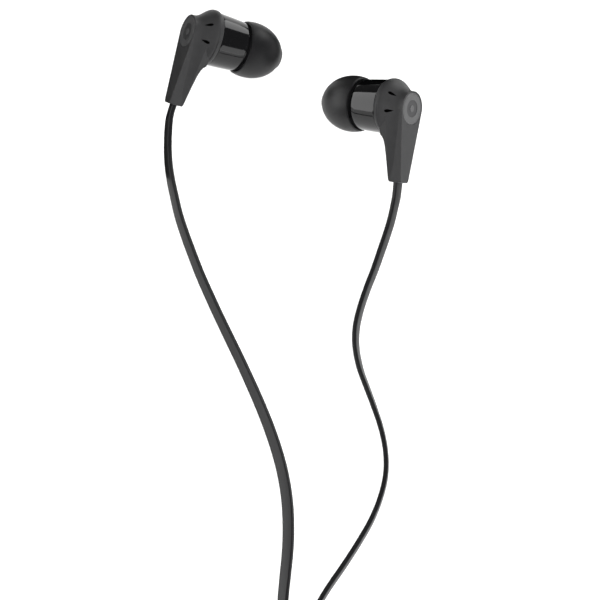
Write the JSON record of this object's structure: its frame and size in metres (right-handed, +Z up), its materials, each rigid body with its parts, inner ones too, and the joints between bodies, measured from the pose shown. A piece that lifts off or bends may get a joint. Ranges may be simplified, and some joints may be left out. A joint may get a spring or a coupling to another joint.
{
  "type": "wired earphones",
  "caption": "Wired in-ear earphones with flat cords, flared collars, glossy barrels, soft dome ear tips and a round-coiled lead with a straight jack plug.",
  "frame": {"origin": "centre of the two earbuds' bounding box, on the surface that they lie on", "axes": "+Z up from the surface, +X across from the left earbud to the right earbud, -Y the way the cords run"},
  "size_m": [0.0587, 0.2329, 0.0176],
  "materials": {
    "shell_satin": "fine satin moulded plastic",
    "badge_metal": "fine spun finish",
    "barrel_gloss": "polished black",
    "fine_steel": "satin",
    "silicone": "soft satin silicone",
    "magnet": "plated",
    "copper": "enamelled wire",
    "film": "clear film",
    "felt": "felt",
    "board": "solder mask",
    "soft_black": "satin elastomer",
    "enamel": "enamelled wire",
    "cord": "satin flat jacket",
    "tie": "plastic-coated wire",
    "gold": "polished plating",
    "insulator": "moulded"
  },
  "bodies": {
    "headset": {"left_housing": "shell_satin", "left_face_disc": "badge_metal", "left_front_barrel": "barrel_gloss", "left_nozzle_mesh": "fine_steel", "left_driver_frame": "fine_steel", "left_magnet": "magnet", "left_top_plate": "fine_steel", "left_yoke": "fine_steel", "left_voice_coil": "copper", "left_diaphragm": "film", "left_driver_cover": "fine_steel", "left_rear_felt": "felt", "left_solder_board": "board", "left_grommet": "soft_black", "left_cord_clamp": "fine_steel", "left_wires": "enamel", "right_housing": "shell_satin", "right_face_disc": "badge_metal", "right_front_barrel": "barrel_gloss", "right_nozzle_mesh": "fine_steel", "right_driver_frame": "fine_steel", "right_magnet": "magnet", "right_top_plate": "fine_steel", "right_yoke": "fine_steel", "right_voice_coil": "copper", "right_diaphragm": "film", "right_driver_cover": "fine_steel", "right_rear_felt": "felt", "right_solder_board": "board", "right_grommet": "soft_black", "right_cord_clamp": "fine_steel", "right_wires": "enamel", "left_cord": "cord", "right_cord": "cord", "main_cord": "cord", "cord_coil": "cord", "coil_tie": "tie", "splitter_upper_shell": "soft_black", "splitter_lower_shell": "soft_black", "splitter_joint": "fine_steel", "plug_tip": "gold", "plug_ring": "gold", "plug_sleeve": "gold", "plug_insulators": "insulator", "plug_core": "insulator", "plug_collar": "gold", "plug_body": "soft_black", "plug_relief": "soft_black"},
    "left_tip": {"left_ear_tip": "silicone"},
    "right_tip": {"right_ear_tip": "silicone"}
  },
  "joints": [
    {"name": "left_tip_pull", "type": "slide", "parent": "headset", "child": "left_tip", "axis": [0.8669, 0.0076, -0.4985], "range_m": [0, 0.006]},
    {"name": "right_tip_pull", "type": "slide", "parent": "headset", "child": "right_tip", "axis": [-0.8036, 0.3679, -0.4679], "range_m": [0, 0.006]}
  ]
}
